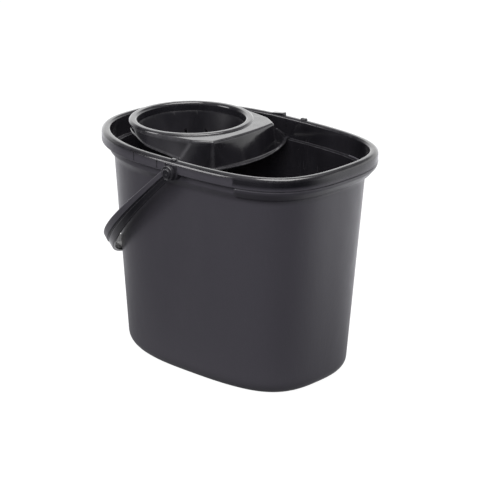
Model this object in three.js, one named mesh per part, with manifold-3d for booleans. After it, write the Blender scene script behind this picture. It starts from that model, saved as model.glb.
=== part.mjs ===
// Oval mop bucket with a drop-in wringer funnel and a swinging bail, in millimetres, +Z up.
// The origin is the middle of the flat underside; the wringer end lies towards -X.
import * as THREE from "three";
import { mergeVertices } from "three/addons/utils/BufferGeometryUtils.js";
import Module from "manifold-3d";

const wasm = await Module();
wasm.setup();

// ---- driving dimensions -------------------------------------------------
const HEIGHT = 284;
const TOP_HALF_LENGTH = 167;
const TOP_HALF_WIDTH = 106.5;
const BASE_HALF_LENGTH = 146;
const BASE_HALF_WIDTH = 90;
const TOP_POWER = 2.7;
const BASE_POWER = 2.85;
const TOP_EGG = 0.18;
const BASE_EGG = 0.1;
const WALL = 2.7;
const FLOOR = 3;
const BASE_RADIUS = 24;
const RIM_REACH = 13;
const SKIRT_DROP = 15;
const SHELF_DROP = 26;
const SHELF_Z = HEIGHT - SHELF_DROP;
const OVAL_STEPS = 80;

const LEDGE_FROM_X = 102;
const LEDGE_DEEP = 14.8;
const LEDGE_GAP = 2.2;
const LEDGE_TOP = HEIGHT - SKIRT_DROP - LEDGE_GAP;
const LEDGE_BOTTOM = LEDGE_TOP - LEDGE_DEEP;
const LEDGE_REACH = RIM_REACH - 0.4;
const STOP_X = -25;
const STOP_LENGTH = 26;
const STOP_RISE = 5;

const PIVOT_X = 12;
const PIVOT_DROP = 14;
const PIVOT_Z = HEIGHT - PIVOT_DROP;
const BOSS_RADIUS = 10;
const BOSS_PROUD = 0.9;
const BOSS_FACE_Y = TOP_HALF_WIDTH + RIM_REACH + BOSS_PROUD;
const BOSS_ROOT_Y = TOP_HALF_WIDTH + 3.9;
const BORE_FLOOR_Y = BOSS_ROOT_Y + 1;

const HUB_GAP = 1.6;
const BAIL_OVERHANG = 71;
const BAIL_REACH = TOP_HALF_LENGTH + BAIL_OVERHANG;
const BAIL_THICK = 5;
const BAIL_HALF_WIDTH = BOSS_FACE_Y + HUB_GAP + BAIL_THICK / 2;
const BAIL_POWER = 2.3;
const BAIL_REST_DEG = 40.7;
const BAIL_ARM_WIDTH = 14;
const BAIL_BOW_WIDTH = 26;
const BAIL_STEPS = 44;
const HUB_RADIUS = 9;
const PIN_RADIUS = 4.2;
const PIN_PLAY = 0.5;
const BORE_RADIUS = PIN_RADIUS + PIN_PLAY;
const PIN_TIP_Y = BORE_FLOOR_Y + 0.8;

const RING_X = -70;
const RING_PROUD = 12;
const RING_TOP = HEIGHT + RING_PROUD;
const RING_LIP = 10.4;
const RING_OUTER = 77;
const RING_INNER = RING_OUTER - RING_LIP;
const CONE_DEPTH = 100;
const CONE_FLOOR_Z = RING_TOP - CONE_DEPTH;
const CONE_FOOT_RADIUS = 37;
const CONE_WALL = 2.4;
const SLOT_COUNT = 14;
const SLOT_WIDTH = 5;
const SLOT_LENGTH = 54;
const SLOT_BOTTOM = CONE_FLOOR_Z + 12;
const SLOT_TOP = SLOT_BOTTOM + SLOT_LENGTH;
const DRAIN_COUNT = 8;
const DRAIN_RADIUS = 4.5;
const DECK_TOP = RING_TOP - 2;
const DECK_THICK = 2.8;
const SEAT_GAP = 0.3;
const APRON_FLANGE_Z = SHELF_Z + SEAT_GAP;
const APRON_FOOT_Z = APRON_FLANGE_Z + 2.7;
const APRON_WALL = 2.4;
const APRON_FLANGE = 3;
const GUSSET_BACK_X = -67;
const GUSSET_BACK_Z = RING_TOP - 9;
const GUSSET_FRONT_X = -8.5;
const GUSSET_FRONT_Z = GUSSET_BACK_Z - 11.5;
const TAB_LENGTH = 26;
const TAB_WIDTH = 10.2;
const TAB_OUTER_Y = TOP_HALF_WIDTH + 0.2;
const TAB_INNER_Y = TAB_OUTER_Y - TAB_WIDTH;
const RING_STEPS = 64;

const BODY_LOOK = { color: 0x2a292d, roughness: 0.46, metalness: 0 };
const GLOSS_LOOK = { color: 0x151518, roughness: 0.3, metalness: 0 };

// ---- solids -------------------------------------------------------------

// Turns a closed three.js geometry into a solid with its faces pointing out.
function toSolid(geometry) {
  const bare = geometry.clone();
  for (const name of Object.keys(bare.attributes)) {
    if (name !== "position") {
      bare.deleteAttribute(name);
    }
  }
  const merged = mergeVertices(bare, 1e-4);
  const vertProperties = new Float32Array(merged.attributes.position.array);
  const triVerts = new Uint32Array(merged.index.array);
  const solid = new wasm.Manifold(new wasm.Mesh({ numProp: 3, vertProperties, triVerts }));
  if (solid.volume() > 0) {
    return solid;
  }
  triVerts.reverse();
  return new wasm.Manifold(new wasm.Mesh({ numProp: 3, vertProperties, triVerts }));
}

// Turns a solid back into a three.js geometry.
function toGeometry(solid) {
  const mesh = solid.getMesh();
  const geometry = new THREE.BufferGeometry();
  const positions = new Float32Array(mesh.numVert * 3);
  for (let i = 0; i < mesh.numVert; i += 1) {
    for (let k = 0; k < 3; k += 1) {
      positions[i * 3 + k] = mesh.vertProperties[i * mesh.numProp + k];
    }
  }
  geometry.setAttribute("position", new THREE.BufferAttribute(positions, 3));
  geometry.setIndex(new THREE.BufferAttribute(new Uint32Array(mesh.triVerts), 1));
  return geometry;
}

// Skins a stack of equal-length rings into one closed body with flat end caps.
function loft(rings) {
  const count = rings[0].length;
  const positions = [];
  const index = [];
  for (const ring of rings) {
    for (const point of ring) {
      positions.push(point[0], point[1], point[2]);
    }
  }
  for (let r = 0; r + 1 < rings.length; r += 1) {
    for (let i = 0; i < count; i += 1) {
      const j = (i + 1) % count;
      const a = r * count + i;
      const b = r * count + j;
      const c = (r + 1) * count + j;
      const d = (r + 1) * count + i;
      index.push(a, b, c, a, c, d);
    }
  }
  for (const [r, flip] of [[0, true], [rings.length - 1, false]]) {
    const middle = [0, 0, 0];
    for (const point of rings[r]) {
      for (let k = 0; k < 3; k += 1) {
        middle[k] += point[k] / count;
      }
    }
    const centre = positions.length / 3;
    positions.push(middle[0], middle[1], middle[2]);
    for (let i = 0; i < count; i += 1) {
      const a = r * count + i;
      const b = r * count + ((i + 1) % count);
      if (flip) {
        index.push(centre, b, a);
      } else {
        index.push(centre, a, b);
      }
    }
  }
  const geometry = new THREE.BufferGeometry();
  geometry.setAttribute("position", new THREE.Float32BufferAttribute(positions, 3));
  geometry.setIndex(index);
  return geometry;
}

// A box given by its two opposite corners.
function box(x0, x1, y0, y1, z0, z1) {
  const geometry = new THREE.BoxGeometry(x1 - x0, y1 - y0, z1 - z0);
  geometry.translate((x0 + x1) / 2, (y0 + y1) / 2, (z0 + z1) / 2);
  return toSolid(geometry);
}

// A round bar along Y between two Y values.
function barY(radius, x, z, y0, y1, steps = 28) {
  const geometry = new THREE.CylinderGeometry(radius, radius, Math.abs(y1 - y0), steps);
  geometry.translate(x, (y0 + y1) / 2, 0);
  geometry.translate(0, 0, z);
  return toSolid(geometry);
}

// A round bar along Z between two Z values.
function barZ(radius, x, y, z0, z1, steps = 32) {
  const geometry = new THREE.CylinderGeometry(radius, radius, z1 - z0, steps);
  geometry.rotateX(Math.PI / 2);
  geometry.translate(x, y, (z0 + z1) / 2);
  return toSolid(geometry);
}

// ---- the oval -----------------------------------------------------------

// A signed power, for the superellipse.
function signedPower(value, power) {
  return Math.sign(value) * Math.abs(value) ** power;
}

// How far up the taper a height lies, held at 1 from the underside of the rim.
function taper(z) {
  return Math.min(z / (HEIGHT - SKIRT_DROP), 1);
}

// One ring of the egg-shaped oval at height z, grown outwards by reach.
function ovalRing(z, reach) {
  const t = taper(z);
  const halfLength = BASE_HALF_LENGTH + (TOP_HALF_LENGTH - BASE_HALF_LENGTH) * t;
  const halfWidth = BASE_HALF_WIDTH + (TOP_HALF_WIDTH - BASE_HALF_WIDTH) * t;
  const power = BASE_POWER + (TOP_POWER - BASE_POWER) * t;
  const egg = BASE_EGG + (TOP_EGG - BASE_EGG) * t;
  const ring = [];
  for (let i = 0; i < OVAL_STEPS; i += 1) {
    const angle = (2 * Math.PI * i) / OVAL_STEPS;
    const along = signedPower(Math.cos(angle), 2 / power);
    const across = signedPower(Math.sin(angle), 2 / power);
    const swell = 1 + egg * along ** 3;
    ring.push([(halfLength + reach) * along, (halfWidth * swell + reach) * across, z]);
  }
  return ring;
}

// ---- bucket -------------------------------------------------------------

function bucketShell() {
  const rings = [];
  const add = (z, reach) => rings.push(ovalRing(z, reach));
  // underside: flat middle pad, shallow moat, flat foot
  add(0, -62);
  add(1.6, -60);
  add(1.6, -40);
  add(0, -38);
  for (let i = 0; i <= 5; i += 1) {
    const angle = (i / 5) * (Math.PI / 2);
    add(BASE_RADIUS * (1 - Math.cos(angle)), -BASE_RADIUS * (1 - Math.sin(angle)));
  }
  // outer wall, flared seat of the rim, then the rim and its skirt
  add(150, 0);
  add(SHELF_Z - 10, 0);
  add(SHELF_Z - 5, 1.4);
  add(SHELF_Z - 0.5, 4.6);
  add(SHELF_Z + 3, 5.4);
  add(HEIGHT - 4, 5.4);
  add(HEIGHT - 4, RIM_REACH - 2.6);
  add(HEIGHT - SKIRT_DROP, RIM_REACH - 2.6);
  add(HEIGHT - SKIRT_DROP, RIM_REACH);
  add(HEIGHT - 4.6, RIM_REACH);
  add(HEIGHT - 1.6, RIM_REACH - 1.2);
  add(HEIGHT - 0.3, RIM_REACH - 3);
  add(HEIGHT, RIM_REACH - 5);
  add(HEIGHT - 0.8, 4.4);
  add(HEIGHT - 3.2, 2.8);
  // inner wall with the shelf that carries the wringer
  add(SHELF_Z, 2.8);
  add(SHELF_Z, -WALL);
  add(BASE_RADIUS + 2, -WALL);
  for (let i = 1; i <= 4; i += 1) {
    const angle = (i / 4) * (Math.PI / 2);
    const rise = BASE_RADIUS + 2 - (BASE_RADIUS + 2 - FLOOR) * Math.sin(angle);
    add(rise, -WALL - (BASE_RADIUS - 3) * (1 - Math.cos(angle)));
  }
  return toSolid(loft(rings));
}

// The tipping ledge: a shelf under the rim around the +X end.
function tippingLedge() {
  const outer = [];
  outer.push(ovalRing(LEDGE_BOTTOM, 0.4));
  outer.push(ovalRing(LEDGE_BOTTOM + 4, 6));
  outer.push(ovalRing(LEDGE_TOP - 4.6, LEDGE_REACH - 1));
  outer.push(ovalRing(LEDGE_TOP - 1.4, LEDGE_REACH));
  outer.push(ovalRing(LEDGE_TOP - 0.4, LEDGE_REACH - 0.6));
  outer.push(ovalRing(LEDGE_TOP, LEDGE_REACH - 1.8));
  const inner = [
    ovalRing(LEDGE_BOTTOM - 4, -1.4),
    ovalRing(SHELF_Z - 0.4, -1.4),
    ovalRing(SHELF_Z - 0.2, 3.6),
    ovalRing(LEDGE_TOP + 4, 3.6),
  ];
  const band = toSolid(loft(outer)).subtract(toSolid(loft(inner)));
  return band.intersect(box(LEDGE_FROM_X, 220, -140, 140, LEDGE_BOTTOM - 5, LEDGE_TOP + 5));
}

// A pivot ear: a boss that bridges the wall and the skirt on one side.
function pivotEar(side) {
  const near = Math.min(side * BOSS_ROOT_Y, side * BOSS_FACE_Y);
  const far = Math.max(side * BOSS_ROOT_Y, side * BOSS_FACE_Y);
  const web = box(PIVOT_X - BOSS_RADIUS, PIVOT_X + BOSS_RADIUS, near, far, PIVOT_Z, HEIGHT - 3.4);
  const boss = barY(BOSS_RADIUS, PIVOT_X, PIVOT_Z, side * BOSS_ROOT_Y, side * BOSS_FACE_Y);
  return boss.add(web);
}

function bucket() {
  let solid = bucketShell().add(tippingLedge());
  for (const side of [-1, 1]) {
    solid = solid.add(pivotEar(side));
    solid = solid.subtract(
      barY(BORE_RADIUS, PIVOT_X, PIVOT_Z, side * BORE_FLOOR_Y, side * (BOSS_FACE_Y + 8)),
    );
  }
  // raised stop block on the far rim
  const stop = box(
    STOP_X - STOP_LENGTH / 2,
    STOP_X + STOP_LENGTH / 2,
    TOP_HALF_WIDTH + 4,
    TOP_HALF_WIDTH + 11,
    HEIGHT - 2,
    HEIGHT + STOP_RISE,
  );
  return solid.add(stop);
}

// ---- bail ---------------------------------------------------------------

// A point on the bow line, at angle turn from the -Y pivot (-90) to the +Y pivot (90), with its outward normal.
function bowPoint(turn) {
  const reach = BAIL_REACH * Math.max(Math.cos(turn), 0) ** (2 / BAIL_POWER);
  const across = BAIL_HALF_WIDTH * signedPower(Math.sin(turn), 2 / BAIL_POWER);
  const normal = new THREE.Vector2(
    (reach / BAIL_REACH) ** (BAIL_POWER - 1) / BAIL_REACH,
    signedPower(across / BAIL_HALF_WIDTH, BAIL_POWER - 1) / BAIL_HALF_WIDTH,
  ).normalize();
  return { reach, across, normal };
}

// The stepped strap section: outward distance and distance across the strap.
function strapSection(width, thick) {
  const half = width / 2;
  const out = thick / 2;
  return [
    [-out, -half + 1],
    [-out, half - 1],
    [-out + 1, half],
    [out - 0.8, half],
    [out, half - 0.8],
    [out, width * 0.1],
    [out - 1.8, width * 0.08],
    [out - 1.8, width * 0.01],
    [out - 0.8, -width * 0.01],
    [out - 0.8, -half + 0.8],
    [out - 1.6, -half],
    [-out + 1, -half],
  ];
}

function bail() {
  const rest = THREE.MathUtils.degToRad(BAIL_REST_DEG);
  const along = [-Math.cos(rest), -Math.sin(rest)];
  const upper = [-Math.sin(rest), Math.cos(rest)];
  const rings = [];
  for (let i = 0; i <= BAIL_STEPS; i += 1) {
    const turn = -Math.PI / 2 + (Math.PI * i) / BAIL_STEPS;
    const { reach, across, normal } = bowPoint(turn);
    const grow = THREE.MathUtils.smoothstep(reach, 20, BAIL_REACH * 0.78);
    const width = BAIL_ARM_WIDTH + (BAIL_BOW_WIDTH - BAIL_ARM_WIDTH) * grow;
    const ring = [];
    for (const [out, wide] of strapSection(width, BAIL_THICK)) {
      const r = reach + normal.x * out;
      const y = across + normal.y * out;
      ring.push([PIVOT_X + along[0] * r + upper[0] * wide, y, PIVOT_Z + along[1] * r + upper[1] * wide]);
    }
    rings.push(ring);
  }
  let solid = toSolid(loft(rings));
  for (const side of [-1, 1]) {
    const face = side * (BAIL_HALF_WIDTH - BAIL_THICK / 2);
    const outer = side * (BAIL_HALF_WIDTH + BAIL_THICK / 2);
    solid = solid.add(barY(HUB_RADIUS, PIVOT_X, PIVOT_Z, face, outer));
    solid = solid.add(barY(HUB_RADIUS - 3, PIVOT_X, PIVOT_Z, outer - side, outer + side * 1.5));
    solid = solid.add(barY(PIN_RADIUS, PIVOT_X, PIVOT_Z, side * PIN_TIP_Y, face + side, 20));
  }
  return solid;
}

// ---- wringer ------------------------------------------------------------

// The outline of the raised deck: the ring's arc, two straight sides and a bowed front.
function deckOutline() {
  const half = [];
  for (let i = 0; i <= 8; i += 1) {
    const angle = THREE.MathUtils.degToRad(128 - (128 - 76) * (i / 8));
    half.push([RING_X + RING_OUTER * Math.cos(angle), RING_OUTER * Math.sin(angle)]);
  }
  half.push([-28, 71.5], [-4, 67], [3.5, 62.6], [11, 58.2], [18, 54], [20.4, 36], [21.8, 14]);
  return half;
}

// The outline of the apron's foot, with as many points as the deck's.
function footOutline() {
  const half = [];
  for (let i = 0; i <= 8; i += 1) {
    const t = i / 8;
    half.push([-104 + 68 * t, 63 + 40.8 * Math.sin((t * Math.PI) / 2)]);
  }
  half.push([-26, 104], [-8, 102.6], [1, 94], [8, 81], [19.5, 56], [24.6, 38], [28.6, 19]);
  const spread = (TOP_HALF_WIDTH - 2.5) / 104;
  return half.map(([x, y]) => [x, y * spread]);
}

// Closes a half outline with its mirror image, counter-clockwise seen from above.
function mirrored(half) {
  const lower = half.map(([x, y]) => [x, -y]);
  const upper = half.slice().reverse();
  return lower.concat(upper);
}

// Moves an outline outwards by a distance, with mitred corners.
function grown(outline, distance) {
  const count = outline.length;
  const result = [];
  for (let i = 0; i < count; i += 1) {
    const before = outline[(i + count - 1) % count];
    const here = outline[i];
    const after = outline[(i + 1) % count];
    const a = new THREE.Vector2(here[0] - before[0], here[1] - before[1]).normalize();
    const b = new THREE.Vector2(after[0] - here[0], after[1] - here[1]).normalize();
    const normal = new THREE.Vector2(a.y + b.y, -a.x - b.x).normalize();
    const stretch = Math.max(normal.x * a.y - normal.y * a.x, 0.5);
    result.push([here[0] + (normal.x * distance) / stretch, here[1] + (normal.y * distance) / stretch]);
  }
  return result;
}

// Pushes the two -X corners of an outline further to -X, so that a cut leaves that side open.
function openedBack(outline, distance) {
  const last = outline.length - 1;
  return outline.map(([x, y], i) => (i === 0 || i === last ? [x - distance, y] : [x, y]));
}

function atHeight(outline, z) {
  return outline.map(([x, y]) => [x, y, z]);
}

// The drop-shaped apron: deck plate, flared wall and foot flange, open below and behind.
function apron() {
  const deck = mirrored(deckOutline());
  const foot = mirrored(footOutline());
  const outer = toSolid(
    loft([
      atHeight(foot, APRON_FLANGE_Z),
      atHeight(foot, APRON_FOOT_Z),
      atHeight(grown(deck, 0.4), DECK_TOP - 3),
      atHeight(grown(deck, -0.6), DECK_TOP - 0.8),
      atHeight(grown(deck, -2.4), DECK_TOP),
    ]),
  );
  const inner = toSolid(
    loft([
      atHeight(openedBack(grown(foot, -APRON_WALL), 30), APRON_FLANGE_Z - 3),
      atHeight(openedBack(grown(foot, -APRON_WALL), 30), APRON_FOOT_Z),
      atHeight(openedBack(grown(deck, -APRON_WALL), 30), DECK_TOP - DECK_THICK),
    ]),
  );
  const flange = toSolid(
    loft([
      atHeight(grown(foot, APRON_FLANGE), APRON_FLANGE_Z),
      atHeight(grown(foot, APRON_FLANGE), APRON_FLANGE_Z + 2),
      atHeight(grown(foot, APRON_FLANGE - 1), APRON_FLANGE_Z + 2.6),
    ]),
  );
  const core = barZ(RING_INNER + 2, RING_X, 0, APRON_FLANGE_Z - 10, RING_TOP + 4, RING_STEPS);
  let solid = outer.add(flange).subtract(inner).subtract(core).subtract(gussetCutter());
  for (const side of [-1, 1]) {
    solid = solid.add(seatTab(side));
  }
  return solid;
}

// What lies under the wings' rising lower edge, right across the apron.
function gussetCutter() {
  const shape = new THREE.Shape([
    new THREE.Vector2(RING_X - RING_OUTER, APRON_FLANGE_Z - 10),
    new THREE.Vector2(GUSSET_FRONT_X, APRON_FLANGE_Z - 10),
    new THREE.Vector2(GUSSET_FRONT_X, GUSSET_FRONT_Z),
    new THREE.Vector2(GUSSET_BACK_X, GUSSET_BACK_Z),
    new THREE.Vector2(RING_X - RING_OUTER, GUSSET_BACK_Z),
  ]);
  const geometry = new THREE.ExtrudeGeometry(shape, { depth: 300, bevelEnabled: false });
  geometry.rotateX(Math.PI / 2);
  geometry.translate(0, 150, 0);
  return toSolid(geometry);
}

// A short tab that runs back from the apron's foot along the shelf.
function seatTab(side) {
  const geometry = new THREE.BoxGeometry(TAB_LENGTH + 6, TAB_OUTER_Y - TAB_INNER_Y, APRON_FOOT_Z - APRON_FLANGE_Z);
  geometry.translate(
    GUSSET_FRONT_X - TAB_LENGTH / 2 + 3,
    (side * (TAB_INNER_Y + TAB_OUTER_Y)) / 2,
    (APRON_FOOT_Z + APRON_FLANGE_Z) / 2,
  );
  return toSolid(geometry);
}

// The ring and the tapering basket below it, turned about the ring's axis.
function basket() {
  const profile = [
    [0, CONE_FLOOR_Z],
    [CONE_FOOT_RADIUS - 2, CONE_FLOOR_Z],
    [CONE_FOOT_RADIUS + 1.5, CONE_FLOOR_Z + 3],
    [RING_INNER + CONE_WALL, RING_TOP - 9],
    [RING_OUTER - 2, RING_TOP - 9],
    [RING_OUTER, RING_TOP - 7.5],
    [RING_OUTER, RING_TOP - 3.4],
    [RING_OUTER - 1.3, RING_TOP - 1],
    [RING_OUTER - 3.6, RING_TOP],
    [RING_INNER + 3.2, RING_TOP],
    [RING_INNER + 1, RING_TOP - 1],
    [RING_INNER, RING_TOP - 3.4],
    [RING_INNER - 0.4, RING_TOP - 8],
    [CONE_FOOT_RADIUS - 0.9, CONE_FLOOR_Z + 4],
    [CONE_FOOT_RADIUS - 3, CONE_FLOOR_Z + 2.6],
    [0, CONE_FLOOR_Z + 2.6],
  ];
  const geometry = new THREE.LatheGeometry(
    profile.map(([r, z]) => new THREE.Vector2(r, z)),
    RING_STEPS,
  );
  geometry.rotateX(Math.PI / 2);
  geometry.translate(RING_X, 0, 0);
  return toSolid(geometry);
}

// A slot cutter that passes through the basket wall at one angle.
function slotCutter(angle) {
  const geometry = new THREE.BoxGeometry(60, SLOT_WIDTH, SLOT_TOP - SLOT_BOTTOM);
  geometry.translate(56, 0, (SLOT_TOP + SLOT_BOTTOM) / 2);
  geometry.rotateZ(angle);
  geometry.translate(RING_X, 0, 0);
  return toSolid(geometry);
}

function wringer() {
  let solid = basket();
  for (let i = 0; i < SLOT_COUNT; i += 1) {
    solid = solid.subtract(slotCutter((2 * Math.PI * (i + 0.5)) / SLOT_COUNT));
  }
  for (let i = 0; i < DRAIN_COUNT; i += 1) {
    const angle = (2 * Math.PI * i) / DRAIN_COUNT;
    const x = RING_X + 21 * Math.cos(angle);
    const y = 21 * Math.sin(angle);
    solid = solid.subtract(barZ(DRAIN_RADIUS, x, y, CONE_FLOOR_Z - 3, CONE_FLOOR_Z + 6, 12));
  }
  solid = solid.subtract(barZ(DRAIN_RADIUS, RING_X, 0, CONE_FLOOR_Z - 3, CONE_FLOOR_Z + 6, 12));
  return solid.add(apron());
}

// ---- scene --------------------------------------------------------------

function part(name, solid, look) {
  const mesh = new THREE.Mesh(toGeometry(solid), new THREE.MeshStandardMaterial(look));
  mesh.name = name;
  return mesh;
}

const mopBucket = new THREE.Group();
mopBucket.add(part("bucket_body", bucket(), BODY_LOOK));
mopBucket.add(part("bail_handle", bail(), GLOSS_LOOK));
mopBucket.add(part("wringer_insert", wringer(), GLOSS_LOOK));

export default mopBucket;
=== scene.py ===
"""Looks for an oval mop bucket with a drop-in wringer and a swinging bail.

Every surface is worked out with numpy, in millimetres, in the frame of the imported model, and turned into metres
when it becomes a mesh. Three classes hold the three mouldings, and small finish classes hold their plastics.
"""

from __future__ import annotations

import logging
import math
from dataclasses import dataclass, field
from enum import Enum
from typing import Callable, Sequence

import bmesh
import bpy
import numpy as np
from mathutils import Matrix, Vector

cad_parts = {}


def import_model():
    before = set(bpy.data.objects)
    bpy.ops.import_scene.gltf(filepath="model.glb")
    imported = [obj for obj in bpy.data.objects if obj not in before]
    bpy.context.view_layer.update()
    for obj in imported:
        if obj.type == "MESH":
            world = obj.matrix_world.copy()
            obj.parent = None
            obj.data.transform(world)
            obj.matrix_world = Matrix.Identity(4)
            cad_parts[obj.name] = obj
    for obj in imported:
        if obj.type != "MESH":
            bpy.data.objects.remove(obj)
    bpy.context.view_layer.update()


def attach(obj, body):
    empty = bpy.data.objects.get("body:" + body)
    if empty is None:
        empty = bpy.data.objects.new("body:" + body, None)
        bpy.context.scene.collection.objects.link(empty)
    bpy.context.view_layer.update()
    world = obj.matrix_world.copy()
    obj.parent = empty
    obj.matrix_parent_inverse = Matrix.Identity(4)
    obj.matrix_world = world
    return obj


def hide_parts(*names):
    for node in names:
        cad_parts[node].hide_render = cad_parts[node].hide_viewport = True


LOG = logging.getLogger("mop_bucket")
MM = 0.001
DENSE = 4001  # points of a curve before it is shared out evenly
BOSS_AROUND = 72  # points round a pivot boss or hub
PLASTIC_IOR = 1.49
Array = np.ndarray
Point = tuple[float, float, float]
Corners = Sequence[Point]
Pair = tuple[float, float]
Marks = dict[str, Array | float]
Piece = bpy.types.Object
Socket = bpy.types.NodeSocket
Tree = bpy.types.NodeTree


class Side(Enum):
    """The two long sides of the bucket."""

    NEAR = -1
    FAR = 1


class Axis(Enum):
    """The axis that a lathe piece is turned about."""

    Y = "Y"
    Z = "Z"


class Wrap(Enum):
    """Which way a grid of points closes on itself."""

    NONE = 0
    ROWS = 1
    COLS = 2
    BOTH = 3


# ---------------------------------------------------------------- curves and grids


def rounded(corners: Corners, steps: int, spacing: float) -> Array:
    """Rounds the corners of an open polyline and shares out points along its straights.

    Each corner (x, y, radius) is replaced by the circular arc that touches both of its sides.

    Args:
        corners: the points with the radius wanted at each one; the two ends keep radius 0.
        steps: points along each arc, less one.
        spacing: the longest straight left undivided.

    Returns:
        The points as an array of shape (count, 2).
    """
    pts = np.array([c[:2] for c in corners], float)
    out: list[Array] = [pts[:1]]
    for i in range(1, len(pts) - 1):
        radius = corners[i][2]
        back = pts[i - 1] - pts[i]
        ahead = pts[i + 1] - pts[i]
        length_back, length_ahead = np.linalg.norm(back), np.linalg.norm(ahead)
        back, ahead = back / length_back, ahead / length_ahead
        half = 0.5 * math.acos(float(np.clip(np.dot(back, ahead), -1, 1)))
        if radius <= 0 or half > math.pi / 2 - 1e-3:
            out.append(pts[i : i + 1])
            continue
        reach = min(radius / math.tan(half), 0.49 * length_back, 0.49 * length_ahead)
        used = reach * math.tan(half)
        middle = (back + ahead) / np.linalg.norm(back + ahead)
        centre = pts[i] + middle * used / math.sin(half)
        start = pts[i] + back * reach - centre
        stop = pts[i] + ahead * reach - centre
        t = np.linspace(0, 1, steps + 1)[:, None]
        angle = math.acos(float(np.clip(np.dot(start, stop) / used**2, -1, 1)))
        arc = (np.sin((1 - t) * angle) * start + np.sin(t * angle) * stop) / math.sin(angle)
        out.append(centre + arc)
    out.append(pts[-1:])
    path = np.concatenate(out)
    keep = np.r_[True, np.linalg.norm(np.diff(path, axis=0), axis=1) > 1e-6]
    path = path[keep]
    pieces = [path[:1]]
    for a, b in zip(path[:-1], path[1:]):
        count = max(int(math.ceil(float(np.linalg.norm(b - a)) / spacing)), 1)
        pieces.append(a + (b - a) * (np.arange(1, count + 1) / count)[:, None])
    return np.concatenate(pieces)


def evenly(path: Array, count: int) -> Array:
    """Shares count points evenly along a polyline.

    Args:
        path: the polyline, of shape (points, dimensions).
        count: how many points to give back.

    Returns:
        An array of shape (count, dimensions).
    """
    along = np.r_[0, np.cumsum(np.linalg.norm(np.diff(path, axis=0), axis=1))]
    wanted = np.linspace(0, along[-1], count)
    return np.stack([np.interp(wanted, along, path[:, k]) for k in range(path.shape[1])], 1)


def edge_strength(profile: Array, closed: bool, reach: float = 1.6) -> Array:
    """How sharply a profile turns at each point, from 0 on a straight to 1 on a tight edge.

    The turn between neighbouring segments is divided by their mean length and multiplied by reach.

    Args:
        profile: points of shape (count, 2).
        closed: whether the last point meets the first.
        reach: the radius in millimetres that counts as fully sharp.

    Returns:
        An array of shape (count,).
    """
    before = np.roll(profile, 1, 0) if closed else np.vstack([profile[:1], profile[:-1]])
    after = np.roll(profile, -1, 0) if closed else np.vstack([profile[1:], profile[-1:]])
    a, b = profile - before, after - profile
    la, lb = np.linalg.norm(a, axis=1) + 1e-9, np.linalg.norm(b, axis=1) + 1e-9
    cross = a[:, 0] * b[:, 1] - a[:, 1] * b[:, 0]
    turn = np.abs(np.arcsin(np.clip(cross / (la * lb), -1, 1)))
    return np.clip(turn / (0.5 * (la + lb)) * reach, 0, 1)


def grid_faces(rows: int, cols: int, wrap: Wrap) -> Array:
    """Quads between neighbouring points of a grid.

    Args:
        rows: number of rows.
        cols: number of columns.
        wrap: which ways the grid closes.

    Returns:
        An array of shape (faces, 4).
    """
    r = np.arange(rows if wrap in (Wrap.ROWS, Wrap.BOTH) else rows - 1)
    c = np.arange(cols if wrap in (Wrap.COLS, Wrap.BOTH) else cols - 1)
    r, c = np.meshgrid(r, c, indexing="ij")
    r2, c2 = (r + 1) % rows, (c + 1) % cols
    return np.stack([r * cols + c, r * cols + c2, r2 * cols + c2, r2 * cols + c], -1).reshape(-1, 4)


def copied_faces(rows: int, cols: int, copies: int) -> Array:
    """Quads of several like grids, each closed round its columns, numbered one grid after another.

    Args:
        rows: rows of one grid.
        cols: columns of one grid.
        copies: how many grids.

    Returns:
        An array of shape (faces, 4).
    """
    one = grid_faces(rows, cols, Wrap.COLS)
    return (one[None] + (np.arange(copies) * rows * cols)[:, None, None]).reshape(-1, 4)


def square_loop(count: int) -> Array:
    """The outline of the square from -1 to 1, from its lowest left corner.

    Args:
        count: points along each side.

    Returns:
        An array of shape (4 * count, 2).
    """
    run, one = np.linspace(-1, 1, count, endpoint=False), np.ones(count)
    sides = ((run, -one), (one, run), (-run, one), (-one, -run))
    return np.concatenate([np.stack(side, 1) for side in sides])


def make_mesh(name: str, points: Array, faces: list[list[int]], marks: Marks) -> Piece:
    """Makes a smooth-shaded mesh object at the origin from points in millimetres.

    Args:
        name: the object's name.
        points: an array of shape (count, 3), in millimetres.
        faces: vertex numbers of each face.
        marks: float values per point, stored as attributes.

    Returns:
        The new object, linked to the scene.
    """
    mesh = bpy.data.meshes.new(name)
    mesh.from_pydata((points * MM).tolist(), [], faces)
    for key, values in marks.items():
        layer = mesh.attributes.new(key, "FLOAT", "POINT")
        layer.data.foreach_set("value", np.asarray(values, np.float32).ravel())
    mesh.validate()
    mesh.shade_smooth()
    obj = bpy.data.objects.new(name, mesh)
    bpy.context.scene.collection.objects.link(obj)
    return obj


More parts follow.
